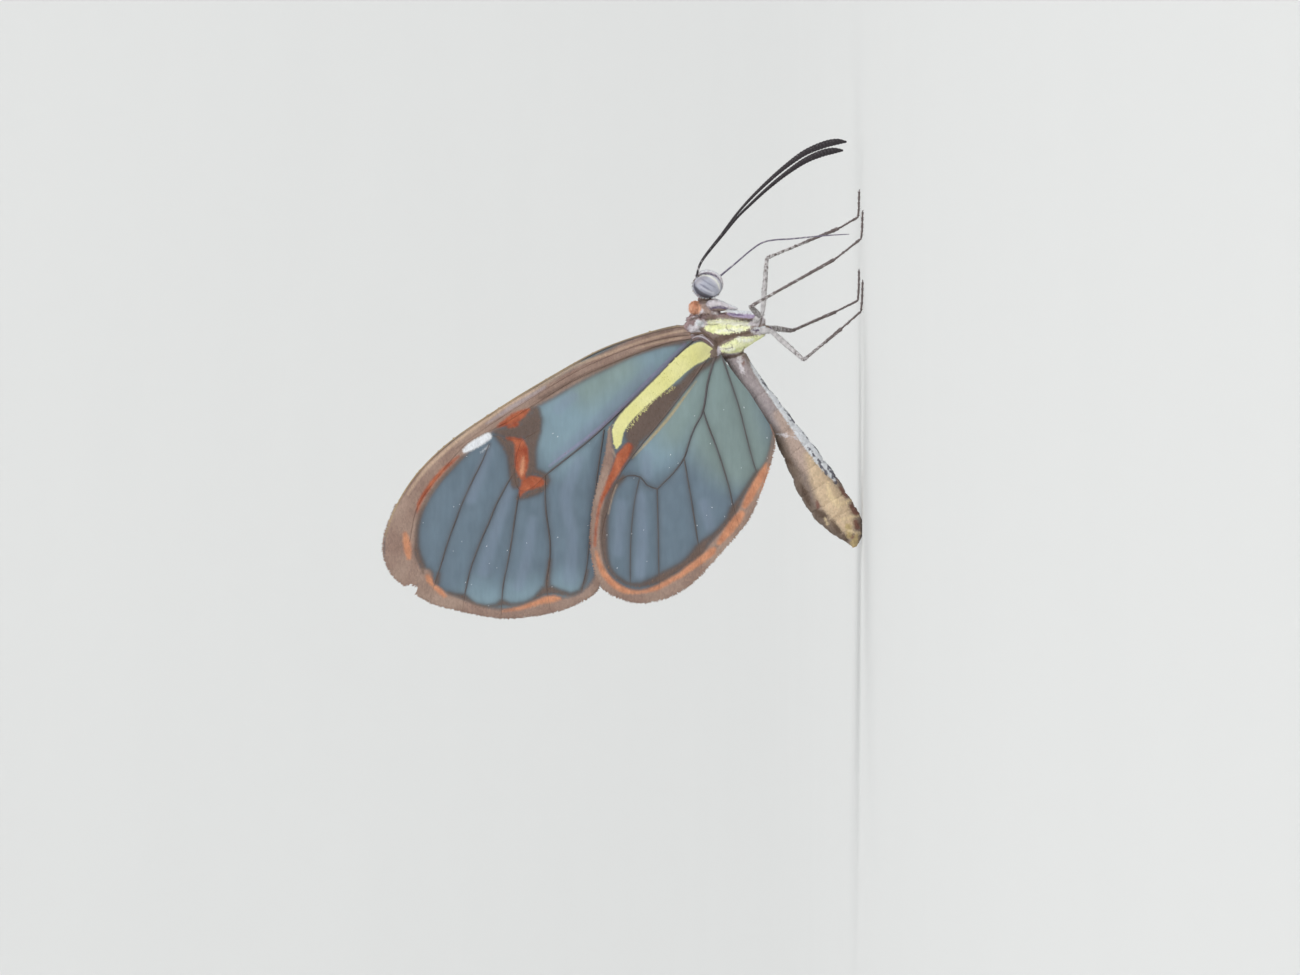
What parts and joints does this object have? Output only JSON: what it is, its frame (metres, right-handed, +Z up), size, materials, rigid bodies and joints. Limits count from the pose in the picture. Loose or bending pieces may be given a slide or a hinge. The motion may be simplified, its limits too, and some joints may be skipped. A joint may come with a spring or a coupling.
{
  "type": "ithomia butterfly",
  "caption": "Clearwing butterfly at life size, feeding, with blue-grey glassy wings closed over its back, a slender body, long feelers and a curled-down tongue.",
  "frame": {"origin": "Middle of the bounding box, on the floor that the feet and the abdomen's tip rest on.", "axes": "+X towards the head, +Y towards the animal's left, +Z up."},
  "size_m": [0.0301, 0.0122, 0.0302],
  "materials": {
    "wing_clear": "satin",
    "thorax_scales": "matte",
    "abdomen_scales": "matte",
    "head_scales": "matte",
    "eye": "gloss",
    "leg": "satin",
    "feeler": "satin"
  },
  "bodies": {
    "root": {"thorax": "thorax_scales", "head": "head_scales", "abdomen": "abdomen_scales", "eye_right": "eye", "eye_left": "eye", "antenna_right": "feeler", "antenna_left": "feeler", "proboscis": "feeler", "forewing_right": "wing_clear", "forewing_left": "wing_clear", "hindwing_right": "wing_clear", "hindwing_left": "wing_clear", "foreleg_right": "leg", "foreleg_left": "leg", "midleg_right": "leg", "midleg_left": "leg", "hindleg_right": "leg", "hindleg_left": "leg"}
  },
  "joints": []
}
